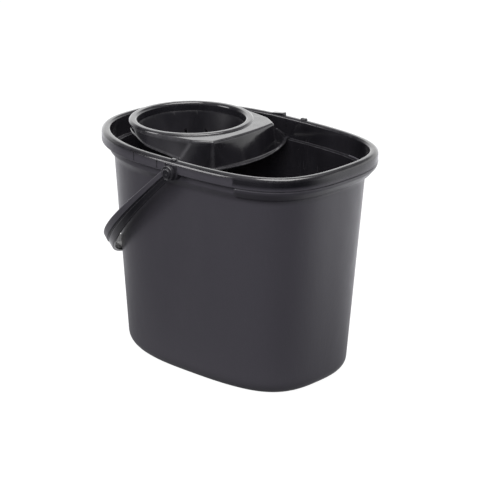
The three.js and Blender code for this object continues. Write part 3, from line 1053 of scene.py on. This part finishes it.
@dataclass
class BailMoulding(Moulding):
    """The bail: a stepped flat strap bent in a deep bow, with a hub and a pin at each end."""

    pivot: Pair = (12.0, 270.0)
    reach: float = 238.0
    half_width: float = 124.5
    power: float = 2.3
    rest_deg: float = 40.7
    thick: float = 5.0
    arm_width: float = 14.0
    bow_width: float = 22.5
    hub_radius: float = 9.0
    pin_radius: float = 4.2
    pin_tip: float = 112.2
    rows: int = 300
    body: str = "bail"
    slot: str = "gloss_plastic_bail"

    def section(self, width: Array) -> tuple[Array, Array, Array, Array]:
        """The strap's rounded, stepped section at each width.

        Args:
            width: strap widths, of shape (rows, 1).

        Returns:
            Outward distances (1, points), distances across (rows, points), the edge values, and the polish, which is
            satin on the upper rail and full on the lower band.
        """
        out = self.thick / 2
        shape = rounded(
            [
                (-out, 0.0, 0), (-out, 12.0, 1.0), (out, 12.0, 1.1), (out, 1.7, 0.6), (out - 2.0, 1.1, 0.4),
                (out - 2.0, -0.1, 0.4), (out - 0.9, -2.4, 1.6), (out - 1.3, -12.0, 1.2), (-out, -12.0, 1.0),
                (-out, 0.0, 0),
            ],
            steps=5,
            spacing=2.4,
        )[:-1]
        stretch = width / 24.0
        polish_and_shade = 1.0 - 0.85 * np.clip((shape[:, 1] - 0.9) / 0.6, 0, 1)
        return shape[None, :, 0], shape[None, :, 1] * stretch, edge_strength(shape, closed=True), polish_and_shade

    def build_strap(self) -> Piece:
        """Carries the section along the bow.

        The bow is a superellipse in the bail's own plane, reach along the arms and half_width across, tipped down
        by rest_deg about the pivot; the section grows from arm_width at the hubs to bow_width round the bow.

        Returns:
            The closed strap.
        """
        turn = np.linspace(-math.pi / 2, math.pi / 2, DENSE)
        reach = self.reach * np.abs(np.cos(turn)) ** (2 / self.power)
        across = self.half_width * np.sign(np.sin(turn)) * np.abs(np.sin(turn)) ** (2 / self.power)
        line = evenly(np.stack([reach, across], 1), self.rows)
        reach, across = line[:, :1], line[:, 1:]
        normal = np.concatenate(
            [
                (np.abs(reach) / self.reach) ** (self.power - 1) / self.reach,
                np.sign(across) * (np.abs(across) / self.half_width) ** (self.power - 1) / self.half_width,
            ],
            1,
        )
        normal /= np.linalg.norm(normal, axis=1, keepdims=True)
        t = np.clip((reach - 20) / (self.reach * 0.78 - 20), 0, 1)
        width = self.arm_width + (self.bow_width - self.arm_width) * t * t * (3 - 2 * t)
        out, wide, edge, polish_and_shade = self.section(width)
        rest = math.radians(self.rest_deg)
        r = reach + normal[:, :1] * out
        y = across + normal[:, 1:] * out
        x = self.pivot[0] - math.cos(rest) * r - math.sin(rest) * wide
        z = self.pivot[1] - math.sin(rest) * r + math.cos(rest) * wide
        grid = np.stack([x, y, z], -1)
        marks = {"edge": edge[None, :], "polish_and_shade": polish_and_shade[None, :]}
        strap = grid_piece("bail_strap", grid, Wrap.COLS, marks, grid[0].mean(0), grid[-1].mean(0))
        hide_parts("bail_handle")
        return strap

    def build_hub(self, side: Side) -> Piece:
        """Turns a hub with its dished face, raised cap and pin about Y.

        Args:
            side: which long side.

        Returns:
            The closed hub.
        """
        inner = self.half_width - self.thick / 2
        outer = self.half_width + self.thick / 2
        radius = self.hub_radius
        section = rounded(
            [
                (0, self.pin_tip, 0), (self.pin_radius, self.pin_tip, 0.9), (self.pin_radius, inner, 0.3),
                (radius, inner, 0.8), (radius, outer, 1.1), (radius - 1.8, outer, 0.4),
                (radius - 2.4, outer - 0.7, 0.4), (radius - 3.2, outer - 0.7, 0.3),
                (radius - 3.2, outer + 1.4, 1.0), (2.0, outer + 1.4, 0.5), (1.2, outer + 0.6, 0.4),
                (0, outer + 0.6, 0),
            ],
            steps=5,
            spacing=2.0,
        )
        return lathe_boss("bail_hub", section, self.pivot, side, polish_and_shade=1.0)

    def build(self) -> list[Piece]:
        """Builds, dresses and mounts every piece of the bail.

        Returns:
            The pieces.
        """
        pieces = [self.build_strap()] + [self.build_hub(side) for side in Side]
        finish = MouldedPlastic("bail_plastic", gloss_rough=0.16, wave_depth=0.0004, rub=0.6, scuff=0.7)
        return self.dress(pieces, finish)


# ---------------------------------------------------------------- the wringer


@dataclass
class WringerMoulding(Moulding):
    """The wringer insert: rounded ring, slotted basket, pierced floor, deck and flared apron."""

    ring_x: float = -70.0
    ring_top: float = 296.0
    ring_outer: float = 77.0
    ring_inner: float = 66.6
    floor_z: float = 196.0
    foot_radius: float = 37.0
    wall: float = 2.4
    slots: int = 14
    slot_width: float = 5.0
    slot_low: float = 208.0
    slot_high: float = 262.0
    drains: int = 8
    drain_radius: float = 4.5
    drain_circle: float = 21.0
    middle_radius: float = 11.0
    tab_y: float = 101.6
    deck_top: float = 294.0
    foot_z: float = 261.0
    flange_z: float = 258.3
    flange: float = 3.0
    gusset_back: Pair = (-67.0, 287.0)
    gusset_front: Pair = (-8.5, 275.5)
    crease_keys: tuple[int, int] = (6, 8)
    # Half widths of the painted highlight along the apron's creases.
    crease_widths: Pair = (0.22, 0.2)
    body: str = "wringer"
    slot: str = "gloss_plastic_wringer"

    def build_ring(self) -> Piece:
        """Turns the ring's rounded section about its axis.

        Returns:
            The closed ring.
        """
        top, outer, inner = self.ring_top, self.ring_outer, self.ring_inner
        section = rounded(
            [
                (inner + 2.2, top - 11, 0), (inner + 4, top - 9, 0.8), (outer - 1.6, top - 9, 1.0),
                (outer, top - 7.2, 1.6), (outer, top, 4.6), (inner, top, 3.8), (inner - 0.7, top - 11, 0),
            ],
            steps=10,
            spacing=2.0,
        )
        ring = lathe_ring("wringer_ring", section, self.ring_x, 200)
        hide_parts("wringer_insert")
        return ring

    def cone_radius(self, z: Array) -> Array:
        """The basket's outer radius at a height: a straight taper."""
        t = (z - (self.floor_z + 3)) / (self.ring_top - 9 - self.floor_z - 3)
        return self.foot_radius + 1.5 + (self.ring_inner + self.wall - self.foot_radius - 1.5) * t

    def build_basket(self) -> Piece:
        """Pierces the tapering wall with upright slots.

        Each of the equal sectors is a band between a slot, a rounded upright loop, and the sector's own edge; the
        loops are blended from one to the other and then wrapped on the taper.

        Returns:
            The basket wall.
        """
        low, high = self.floor_z + 4.0, self.ring_top - 9.0
        sector = 2 * math.pi / self.slots
        square = square_loop(14)
        middle_z, half_z = (low + high) / 2, (high - low) / 2
        outer = np.stack([square[:, 0] * sector / 2, middle_z + square[:, 1] * half_z], 1)
        slot_mid, slot_half = (self.slot_low + self.slot_high) / 2, (self.slot_high - self.slot_low) / 2
        round_loop = square / np.maximum(np.linalg.norm(square, axis=1, keepdims=True), 1e-9)
        slot_z = slot_mid + (slot_half - self.slot_width / 2) * square[:, 1] + self.slot_width / 2 * round_loop[:, 1]
        half_angle = self.slot_width / 2 / self.cone_radius(slot_z)
        inner = np.stack([round_loop[:, 0] * half_angle, slot_z], 1)
        t = np.linspace(0, 1, 7)[:, None, None]
        flat = inner[None] + (outer - inner)[None] * t**1.3
        starts = (np.arange(self.slots) + 0.5) * sector
        angle = flat[None, ..., 0] + starts[:, None, None]
        z = np.broadcast_to(flat[None, ..., 1], angle.shape)
        radius = self.cone_radius(z)
        points = np.stack([self.ring_x + radius * np.cos(angle), radius * np.sin(angle), z], -1)
        rows, cols = flat.shape[:2]
        faces = copied_faces(rows, cols, self.slots)
        near_slot = np.broadcast_to(np.clip(1 - np.linspace(0, 1, rows) * 5, 0, 1)[:, None], (rows, cols))
        edge = np.broadcast_to(near_slot[None], (self.slots, rows, cols)).reshape(-1)
        marks = {"edge": edge, "polish_and_shade": np.ones(len(edge))}
        basket = make_mesh("wringer_basket", points.reshape(-1, 3), faces.tolist(), marks)
        turn_out(basket, weld=0.05)
        thicken(basket, self.wall, self._inward(basket))
        return basket

    def _inward(self, obj: Piece) -> float:
        """The Solidify offset that grows a wall towards the basket's axis, read from its first face.

        Args:
            obj: the basket's wall.

        Returns:
            -1 or 1.
        """
        face = obj.data.polygons[0]
        axis = Vector((self.ring_x * MM, 0.0, face.center.z))
        return -1.0 if face.normal.dot(face.center - axis) > 0 else 1.0

    def build_floor(self) -> Piece:
        """Lays out the pierced floor: a ring of equal cells round their holes, and a middle cell.

        Returns:
            The basket's floor.
        """
        inner_r, outer_r, hole_r, cell_side = self.middle_radius, self.foot_radius - 1.0, self.drain_radius, 10
        sector = 2 * math.pi / self.drains
        square = square_loop(cell_side)
        phi = square[:, 0] * sector / 2
        rad = (inner_r + outer_r) / 2 + square[:, 1] * (outer_r - inner_r) / 2
        outer = np.stack([rad * np.cos(phi), rad * np.sin(phi)], 1)
        hole_centre = np.array([self.drain_circle, 0.0])
        spoke = outer - hole_centre
        inner = hole_centre + spoke / np.linalg.norm(spoke, axis=1, keepdims=True) * hole_r
        t = np.linspace(0, 1, 6)[:, None, None]
        cell = inner[None] + (outer - inner)[None] * t
        starts = np.arange(self.drains) * sector
        cos, sin = np.cos(starts)[:, None, None], np.sin(starts)[:, None, None]
        x = cell[None, ..., 0] * cos - cell[None, ..., 1] * sin
        y = cell[None, ..., 0] * sin + cell[None, ..., 1] * cos
        rows, cols = cell.shape[:2]
        ring = np.stack([x, y], -1).reshape(-1, 2)
        faces = copied_faces(rows, cols, self.drains)
        steps = self.drains * cell_side
        angle = np.linspace(0, 2 * np.pi, steps, endpoint=False) - sector / 2
        radius = np.linspace(hole_r, inner_r, 5)[:, None]
        middle = np.stack([radius * np.cos(angle), radius * np.sin(angle)], -1).reshape(-1, 2)
        faces = np.vstack([faces, grid_faces(5, steps, Wrap.COLS) + len(ring)])
        flat = np.vstack([ring, middle])
        points = np.column_stack([flat[:, 0] + self.ring_x, flat[:, 1], np.full(len(flat), self.floor_z + 2.6)])
        marks = {"edge": np.zeros(len(points)), "polish_and_shade": np.ones(len(points))}
        floor = make_mesh("wringer_floor", points, faces.tolist(), marks)
        turn_out(floor, weld=0.05)
        thicken(floor, 2.6, -1.0 if floor.data.polygons[0].normal.z > 0 else 1.0, bevel=0.3)
        return floor

    def build_heel(self) -> Piece:
        """Turns the rounded band that joins the basket's wall to its floor.

        Returns:
            The closed band.
        """
        foot, low = self.foot_radius, self.floor_z
        section = rounded(
            [
                (foot - 3.5, low, 0), (foot - 1.0, low, 0.8), (foot + 1.9, low + 4.2, 2.2),
                (foot + 1.9 - self.wall + 0.4, low + 5.2, 0.3), (foot - 2.2, low + 2.7, 1.2),
                (foot - 3.5, low + 2.6, 0),
            ],
            steps=5,
            spacing=1.5,
        )
        return lathe_ring("wringer_heel", section, self.ring_x, 140)

    def outlines(self) -> tuple[Array, Array, Array, Array]:
        """The deck's edge and the apron's foot from the near wing round the front to the far wing.

        Both outlines are rounded polylines with the same corners; the point that is a given share of the way from
        one corner to the next on one outline answers to the same share on the other.

        Returns:
            The deck's edge and the foot, each of shape (count, 2), how near each point is to a corner, 0 to 1, which
            paints a highlight along the creases, and the power that holds the wall upright below the deck before it
            flares.
        """
        angle = np.radians(np.linspace(128, 84, 5))
        arc = np.stack([self.ring_x + self.ring_outer * np.cos(angle), self.ring_outer * np.sin(angle)], 1)
        t = np.array([0.0, 0.3, 0.6, 0.85, 1.0])
        wing = np.stack([-104 + 68 * t, 63 + 40.8 * np.sin(t * np.pi / 2)], 1)
        deck = [*arc, (-30, 72.2), (-4, 67), (7, 60.9), (18, 54), (20.4, 34), (21.8, 14), (22.1, 0)]
        foot = [*wing, (-22, 103.9), (-8, 102.6), (6, 84), (19.5, 56), (25.2, 36), (28.9, 15), (29.6, 0)]
        half = np.arange(len(deck), dtype=float)
        param = np.r_[half, half[-1] + half[1:]]
        last = param[-1]
        creases = [place for key in self.crease_keys for place in (key, last - key)]
        clusters = [place + np.linspace(-0.3, 0.3, 25) for place in creases]
        fine = np.sort(np.concatenate([np.linspace(0, last, 361), *clusters]))
        fine = fine[np.r_[True, np.diff(fine) > 0.004]]
        mirrored = [np.vstack([np.array(line) * [1, -1], np.array(line)[::-1][1:]]) for line in (deck, foot)]
        curves = [self._between(param, line, fine, creases) for line in mirrored]
        # How near each point is to a crease; through the edge value it paints a highlight along the creases.
        near = np.zeros_like(fine)
        for place, width in zip(creases, np.repeat(self.crease_widths, 2)):
            near = np.maximum(near, np.clip(1 - np.abs(fine - place) / width, 0, 1))
        from_end = np.minimum(fine, last - fine)
        flare = np.interp(from_end, [0, 4.6, 5.8, 7.6, 8.4, 11], [1.0, 1.0, 1.15, 1.15, 1.0, 1.0])
        return curves[0], curves[1], near, flare

    @staticmethod
    def _between(param: Array, line: Array, fine: Array, creases: Sequence[float]) -> Array:
        """Draws a line through points that bends smoothly except at the creases, which get a small round.

        Between creases it is a cubic through the points, with its slope at each point the mean of the two slopes
        beside it; a moving mean over a fifth of a step then rounds the creases.

        Args:
            param: the parameter of each point.
            line: the points.
            fine: the parameters wanted.
            creases: the parameters of the creases.

        Returns:
            The points wanted.
        """
        last = param[-1]
        slope = np.diff(line, axis=0)
        before = np.vstack([slope[:1], slope])
        after = np.vstack([slope, slope[-1:]])
        sharp = np.isin(param, creases)[:, None]
        mean = (before + after) / 2
        leave, arrive = np.where(sharp, after, mean), np.where(sharp, before, mean)

        def cubic(where: Array) -> Array:
            """Hermite cubic between neighbouring points.

            Args:
                where: the parameters wanted.

            Returns:
                The points there.
            """
            i = np.clip(np.floor(where).astype(int), 0, len(line) - 2)
            u = (np.clip(where, 0, last) - i)[:, None]
            h0, h1 = 2 * u**3 - 3 * u**2 + 1, u**3 - 2 * u**2 + u
            h2, h3 = -2 * u**3 + 3 * u**2, u**3 - u**2
            return h0 * line[i] + h1 * leave[i] + h2 * line[i + 1] + h3 * arrive[i + 1]

        slack = np.clip(np.minimum(fine, last - fine), 0, 1)
        return np.mean([cubic(np.clip(fine + shift * slack, 0, last)) for shift in np.linspace(-0.1, 0.1, 9)], axis=0)

    def build_apron(self) -> Piece:
        """Draws the deck and apron as one sheet and gives it its wall.

        Along the sheet's short way it starts under the ring, runs level over the deck, rounds the deck's edge, drops
        down the flared wall, and turns out into the foot flange. On the wings the wall stops at a lower edge that
        rises in a straight line towards the back of the ring.

        Returns:
            The sheet with its wall.
        """
        deck, foot, near, flare = self.outlines()
        centre = np.array([self.ring_x, 0.0])
        spoke = deck - centre
        distance = np.linalg.norm(spoke, axis=1, keepdims=True)
        root = centre + spoke / distance * (self.ring_outer - 4.0)
        across = np.gradient(foot, axis=0)
        outward = np.stack([across[:, 1], -across[:, 0]], 1)
        outward /= np.linalg.norm(outward, axis=1, keepdims=True)
        back, ahead, tall = self.gusset_back, self.gusset_front, self.deck_top - self.foot_z
        share = np.clip((foot[:, 0] - back[0]) / (ahead[0] - back[0]), 0, 1)
        rising = back[1] + (ahead[1] - back[1]) * share
        front = np.clip((foot[:, 0] - ahead[0]) / 1.2, 0, 1)
        low = rising + (self.foot_z - rising) * front
        lead = (distance[:, 0] - self.ring_outer + 4.2)[None]
        lean = np.clip(np.linalg.norm(foot - deck, axis=1)[None] / tall, 0, 1)
        radius, deck_rows, round_rows, wall_rows, lip_rows = 3.2, 8, 10, 14, 4
        turn = np.linspace(0, np.pi / 2, round_rows)[:, None]
        level = np.linspace(1, 0, deck_rows + 1)[:-1, None]
        fall = np.linspace(0, 1, wall_rows + 1)[1:, None]
        flat = radius * (1 - 0.3 * lean)
        plan_in = np.concatenate([-flat - (lead - flat) * level, -flat + flat * np.sin(turn)])
        sunk = np.vstack([np.zeros_like(level), radius * (1 - np.cos(turn))])
        z_in = np.broadcast_to(self.deck_top - sunk, plan_in.shape)
        start = radius / tall * 0.75
        t = start + (((self.deck_top - low) / tall)[None] - start) * fall
        inward = (deck - root) / np.maximum(np.linalg.norm(deck - root, axis=1, keepdims=True), 1e-6)
        power = flare[None, :, None]
        spread = (foot - deck)[None]
        top_part = deck[None] + inward[None] * plan_in[..., None]
        top_part = top_part + spread * (np.clip((self.deck_top - z_in) / tall, 0, 1)[..., None] * 0.8) ** power
        wall_part = deck[None] + spread * t[..., None] ** power
        grid = np.concatenate([np.dstack([top_part, z_in]), np.dstack([wall_part, self.deck_top - t * tall])])
        lip = np.linspace(0, 1, lip_rows + 1)[1:, None, None]
        end = grid[-1]
        lip_plan = end[None, :, :2] + outward[None] * self.flange * front[None, :, None] * lip
        lip_z = end[None, :, 2] - 0.25 * front[None] * lip[..., 0]
        grid = np.concatenate([grid, np.dstack([lip_plan, lip_z])])
        # These edge values on the deck's rounded edge, the foot's lip and the creases lighten the colour through the
        # rub: painted highlights along those edges, together with edge wear.
        edge = np.zeros(grid.shape[:2])
        edge[deck_rows : deck_rows + round_rows - 1] = 0.7
        edge[-lip_rows - 1 :] = np.array([0.5, 0.3, 0.3, 0.7, 1.0])[:, None]
        marks = {"edge": np.maximum(edge, near[None] * 0.9), "polish_and_shade": 1.0}
        sheet = grid_piece("wringer_apron", grid, Wrap.NONE, marks)
        if sheet.data.polygons[0].normal.z <= 0:
            sheet.data.flip_normals()
        thicken(sheet, self.wall, -1.0, even=False)
        return sheet

    def build_tab(self, side: Side) -> Piece:
        """The short tab that runs back from the apron's foot along the shelf.

        Args:
            side: which long side.

        Returns:
            The closed tab.
        """
        low, high = self.flange_z, self.foot_z
        return rounded_block(
            f"seat_tab_{side.name.lower()}",
            (self.gusset_front[0] - 10, side.value * self.tab_y, (low + high) / 2),
            (16.0, 5.1, (high - low) / 2),
            corner=0.8,
            polish_and_shade=1.0,
        )

    def build(self) -> list[Piece]:
        """Builds, dresses and mounts every piece of the wringer.

        Returns:
            The pieces.
        """
        pieces = [self.build_ring(), self.build_basket(), self.build_floor(), self.build_heel(), self.build_apron()]
        pieces += [self.build_tab(side) for side in Side]
        finish = MouldedPlastic("wringer_plastic", gloss_rough=0.12, wave_depth=0.0005, rub=0.5)
        cup = MouldedPlastic(
            "basket_plastic", gloss_rough=0.42, grain_depth=0.00015, wave_depth=0.0012, rub=0.3, specular=0.1
        )
        self.dress(pieces, finish)
        self.dress(pieces[1:4], cup)
        return pieces


# ---------------------------------------------------------------- the studio


@dataclass(frozen=True)
class SoftPanel:
    """One rectangular soft light that faces the bucket."""

    name: str
    place: Point
    size: Pair
    power: float
    color: Point
    mirrored: bool = True

    def hang(self) -> None:
        """Hangs the light and turns it to the middle of the rim."""
        data = bpy.data.lights.new(self.name, "AREA")
        data.shape = "RECTANGLE"
        data.size, data.size_y = self.size
        data.energy = self.power
        data.color = self.color
        light = bpy.data.objects.new(self.name, data)
        bpy.context.scene.collection.objects.link(light)
        light.location = self.place
        light.rotation_euler = (Vector((0, 0, 0.18)) - Vector(self.place)).to_track_quat("-Z", "Y").to_euler()
        light.visible_glossy = self.mirrored


@dataclass
class Studio:
    """Camera, pale floor and soft light."""

    azimuth_deg: float = 42.58
    elevation_deg: float = 19.62
    distance: float = 2.674
    lens: float = 156.4
    sweep_turn_deg: float = 28.0
    aim: Point = (0.0156, 0.0132, 0.1396)
    panels: tuple[SoftPanel, ...] = (
        SoftPanel("overhead_softbox", (0.15, 0.05, 1.5), (0.9, 0.9), 22.0, (1.0, 0.99, 0.98)),
        SoftPanel("left_softbox", (-1.3, -1.9, 1.1), (1.0, 1.2), 29.0, (1.0, 0.99, 1.0)),
        SoftPanel("front_fill", (1.7, -2.1, 1.8), (2.0, 1.4), 96.0, (0.98, 0.97, 1.0), mirrored=False),
    )

    def build_camera(self) -> None:
        """Puts the camera round the aim point; azimuth 0 looks along +Y."""
        azimuth, elevation = math.radians(self.azimuth_deg), math.radians(self.elevation_deg)
        level = math.cos(elevation)
        back = Vector((math.sin(azimuth) * level, -math.cos(azimuth) * level, math.sin(elevation)))
        data = bpy.data.cameras.new("studio_camera")
        data.lens = self.lens
        data.sensor_width = 36.0
        data.clip_end = 50.0
        camera = bpy.data.objects.new("studio_camera", data)
        bpy.context.scene.collection.objects.link(camera)
        camera.location = Vector(self.aim) + back * self.distance
        camera.rotation_euler = (-back).to_track_quat("-Z", "Y").to_euler()
        bpy.context.scene.camera = camera

    def build_floor(self) -> None:
        """Lays a wide pale floor just under the bucket."""
        low = -0.05
        profile = np.array([(200.0, low), (1500.0, low), (9000.0, low)])
        floor = grid_piece("studio_floor", turned(profile, (0, 0, 0), Axis.Z, 96), Wrap.COLS, {}, (0, 0, low))
        if floor.data.polygons[0].normal.z < 0:
            floor.data.flip_normals()
        floor.data.materials.append(FloorFinish().build(math.radians(self.azimuth_deg - self.sweep_turn_deg)))

    def build_world(self) -> None:
        """A white sweep behind, brightest low down, a soft ceiling, and a dark room on the open side."""
        world = bpy.data.worlds.new("studio_world")
        bpy.context.scene.world = world
        world.use_nodes = True
        tree = world.node_tree
        tree.nodes.clear()
        sheet = NodeSheet(tree)
        azimuth = math.radians(self.azimuth_deg - self.sweep_turn_deg)
        where = sheet.add("ShaderNodeTexCoord").outputs["Generated"]
        height = sheet.add("ShaderNodeSeparateXYZ", in_0=where).outputs[2]
        behind = sheet.spread(sheet.along(where, azimuth), -0.7, 0.15, 1.0, 0.0)
        low = sheet.spread(height, 0.28, 0.62, 1.0, 0.0)
        sweep = sheet.math("MULTIPLY", behind, sheet.spread(low, 0.0, 1.0, 0.25, 1.9))
        ceiling = sheet.spread(height, 0.55, 0.95, 0.0, 0.5)
        total = sheet.math("ADD", sheet.math("ADD", sweep, ceiling), 0.035)
        seen = sheet.add("ShaderNodeLightPath").outputs["Is Camera Ray"]
        lent = sheet.math("MULTIPLY", total, sheet.math("SUBTRACT", 1.0, seen))
        strength = sheet.math("MAXIMUM", sheet.math("MULTIPLY", seen, 1.04), lent)
        back = sheet.add("ShaderNodeBackground", in_Color=(1.0, 1.0, 1.0, 1), in_Strength=strength)
        sheet.add("ShaderNodeOutputWorld", in_Surface=back.outputs[0])

    def build(self) -> None:
        """Builds the camera, floor, world and lights."""
        self.build_camera()
        self.build_floor()
        self.build_world()
        for panel in self.panels:
            panel.hang()
        bpy.context.scene.view_settings.view_transform = "Standard"
        bpy.context.scene.view_settings.look = "None"


def main() -> None:
    """Loads the frame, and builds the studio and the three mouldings."""
    logging.basicConfig(level=logging.INFO, format="%(name)s: %(message)s")
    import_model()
    Studio().build()
    effects = PlasticEffects()
    builders: list[Callable[[], list[Piece]]] = [
        BucketMoulding(effects).build,
        BailMoulding(effects).build,
        WringerMoulding(effects).build,
    ]
    for build in builders:
        for piece in build():
            LOG.info("%s: %d faces", piece.name, len(piece.data.polygons))
    bpy.context.view_layer.update()


if __name__ == "__main__":
    main()
